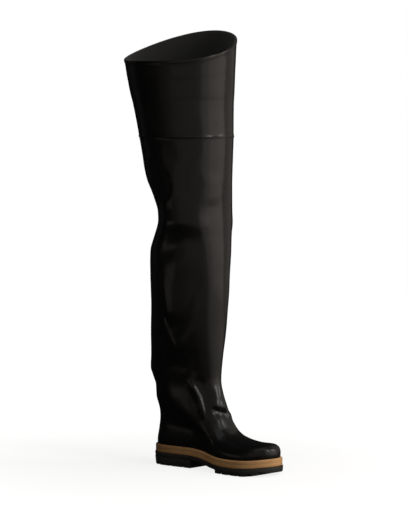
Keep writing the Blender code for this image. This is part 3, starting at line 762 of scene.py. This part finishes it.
def make_webbing(node, name, webbing):
    """A webbing strap with rounded edges."""
    strap = copied(node, name)
    bevelled(strap, 0.0004, 50)
    finish_piece(strap, node, "black_webbing", webbing)
    shaded(strap, 40)
    return strap


def edge_seams(first, last):
    """Seams along both edges of the webbing, between two heights over its lower end."""
    return [(SEAM_INSET, first, last), (1 - SEAM_INSET, first, last)]


def cross_seam(first, last):
    """Stitches side by side across the webbing, between two heights over its lower end."""
    return [(SEAM_INSET + CROSS_STEP * k, first, last) for k in range(CROSS_STITCHES)]


def lay_stitch(mesh, spot, normal):
    """One stitch: a small grain of thread, half sunk in the webbing."""
    along = (Vector((0, 0, 1)) - normal * normal.z).normalized()
    across = normal.cross(along)
    grain = bmesh.ops.create_icosphere(mesh, subdivisions=2, radius=1.0)["verts"]
    for vert in grain:
        p = vert.co.copy()
        vert.co = spot + along * p.x * STITCH_LENGTH / 2
        vert.co += across * p.y * STITCH_RADIUS + normal * p.z * STITCH_RADIUS


def sew(mesh, piece, seams):
    """Lays the stitches of some seams on the outer face of a piece of webbing."""
    points = vectors(piece.data.vertices, "co")
    low, high = points.min(0), points.max(0)
    tree = surface(piece)
    for place, first, last in seams:
        y = low[1] + (high[1] - low[1]) * place
        z = low[2] + first
        while z < low[2] + last:
            outside = Vector((high[0] + RAY_GAP, y, z))
            spot, normal, _, _ = tree.ray_cast(outside, Vector((-1.0, 0.0, 0.0)))
            if spot is not None:
                lay_stitch(mesh, spot, normal)
            z += STITCH_PITCH


def make_stitches(tab, strap, sewing):
    """Lock stitches near the edges of the webbing and across its ends."""
    mesh = bmesh.new()
    sew(mesh, tab, edge_seams(0.026, 0.036) + cross_seam(0.0262, 0.027))
    sew(mesh, strap, edge_seams(0.003, 0.047) + cross_seam(0.0435, 0.044) + cross_seam(0.0028, 0.003))
    data = bpy.data.meshes.new("strap_stitches")
    closed(mesh, data)
    data.materials.append(sewing)
    data.shade_smooth()
    stitches = bpy.data.objects.new("strap_stitches", data)
    bpy.context.scene.collection.objects.link(stitches)
    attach(stitches, "root")


def make_ring(steel):
    """Wire ring in the tab's fold."""
    ring = copied("strap_ring", "steel_ring")
    subdivided(ring)
    finish_piece(ring, "strap_ring", "ring_steel", steel)
    ring.data.shade_smooth()


def compass(turn, distance, height):
    """A place round the boot. Turn 0 is in front of the toe, and 90 at the outer side."""
    a = math.radians(turn)
    return Vector((math.sin(a) * distance, -math.cos(a) * distance, height))


def aim(thing, target):
    """Turns a camera or a light towards a point."""
    way = Vector(target) - thing.location
    thing.rotation_euler = way.to_track_quat("-Z", "Y").to_euler()


def make_camera():
    """Camera at the photograph's angle."""
    data = bpy.data.cameras.new("camera")
    data.lens = CAMERA_LENS
    camera = bpy.data.objects.new("camera", data)
    bpy.context.scene.collection.objects.link(camera)
    camera.location = compass(CAMERA_TURN, CAMERA_DISTANCE, CAMERA_HEIGHT)
    aim(camera, LOOK_AT)
    bpy.context.scene.camera = camera


def make_floor():
    """Pale floor that is seen, but neither lights the boot nor shows in its shine."""
    bpy.ops.mesh.primitive_plane_add(size=FLOOR_SIZE, location=(0, 0, 0))
    floor = bpy.context.active_object
    floor.name = "floor"
    floor.visible_diffuse = False
    floor.visible_glossy = False
    floor.data.materials.append(pale_floor())


def make_surroundings():
    """Surroundings that are white behind the boot and nearly dark in its reflections."""
    world = bpy.data.worlds.new("surroundings")
    bpy.context.scene.world = world
    world.use_nodes = True
    nodes, links = world.node_tree.nodes, world.node_tree.links
    seen = nodes["Background"]
    seen.inputs["Color"].default_value = colour(*WHITE)
    seen.inputs["Strength"].default_value = 1.0
    dim = nodes.new("ShaderNodeBackground")
    dim.inputs["Color"].default_value = colour(*DIM_TINT)
    dim.inputs["Strength"].default_value = DIM_SURROUNDINGS
    path = nodes.new("ShaderNodeLightPath")
    mix = nodes.new("ShaderNodeMixShader")
    links.new(path.outputs["Is Camera Ray"], mix.inputs[0])
    links.new(dim.outputs[0], mix.inputs[1])
    links.new(seen.outputs[0], mix.inputs[2])
    links.new(mix.outputs[0], nodes["World Output"].inputs["Surface"])


def panel_light(name, turn, distance, height, size, power, tint):
    """A soft light at a turn from the camera."""
    data = bpy.data.lights.new(name, "AREA")
    data.color = tint
    data.shape = "RECTANGLE"
    data.size, data.size_y = size
    data.energy = power
    light = bpy.data.objects.new(name, data)
    bpy.context.scene.collection.objects.link(light)
    light.location = compass(CAMERA_TURN + turn, distance, height)
    return light


def make_lights():
    """Soft lights round the boot, and light that comes up from stretches of the floor."""
    for name, turn, distance, height, size, power, aimed_at, tint in SOFT_LIGHTS:
        light = panel_light(name, turn, distance, height, size, power, tint)
        aim(light, (0, 0, aimed_at))
    for name, turn, distance, size, power, tint in FLOOR_LIGHTS:
        light = panel_light(name, turn, distance, FLOOR_LIGHT_HEIGHT, size, power, tint)
        light.rotation_euler = (math.pi, 0.0, math.radians(CAMERA_TURN + turn))
        light.visible_camera = False


rubber = black_rubber()
felt = felt_lining()
tread_rubber = sole_rubber()
webbing = black_webbing()
make_boot_upper(rubber, felt)
make_band(tan_rubber())
make_tread("outsole", "tread_sole", tread_rubber)
make_tread("heel", "heel_block", tread_rubber)
make_insole(felt)
tab = make_webbing("strap_tab", "ring_tab", webbing)
strap = make_webbing("strap", "hanging_strap", webbing)
make_stitches(tab, strap, strap_thread())
make_ring(ring_steel())
bpy.context.scene.view_settings.view_transform = "Standard"
make_camera()
make_floor()
make_surroundings()
make_lights()
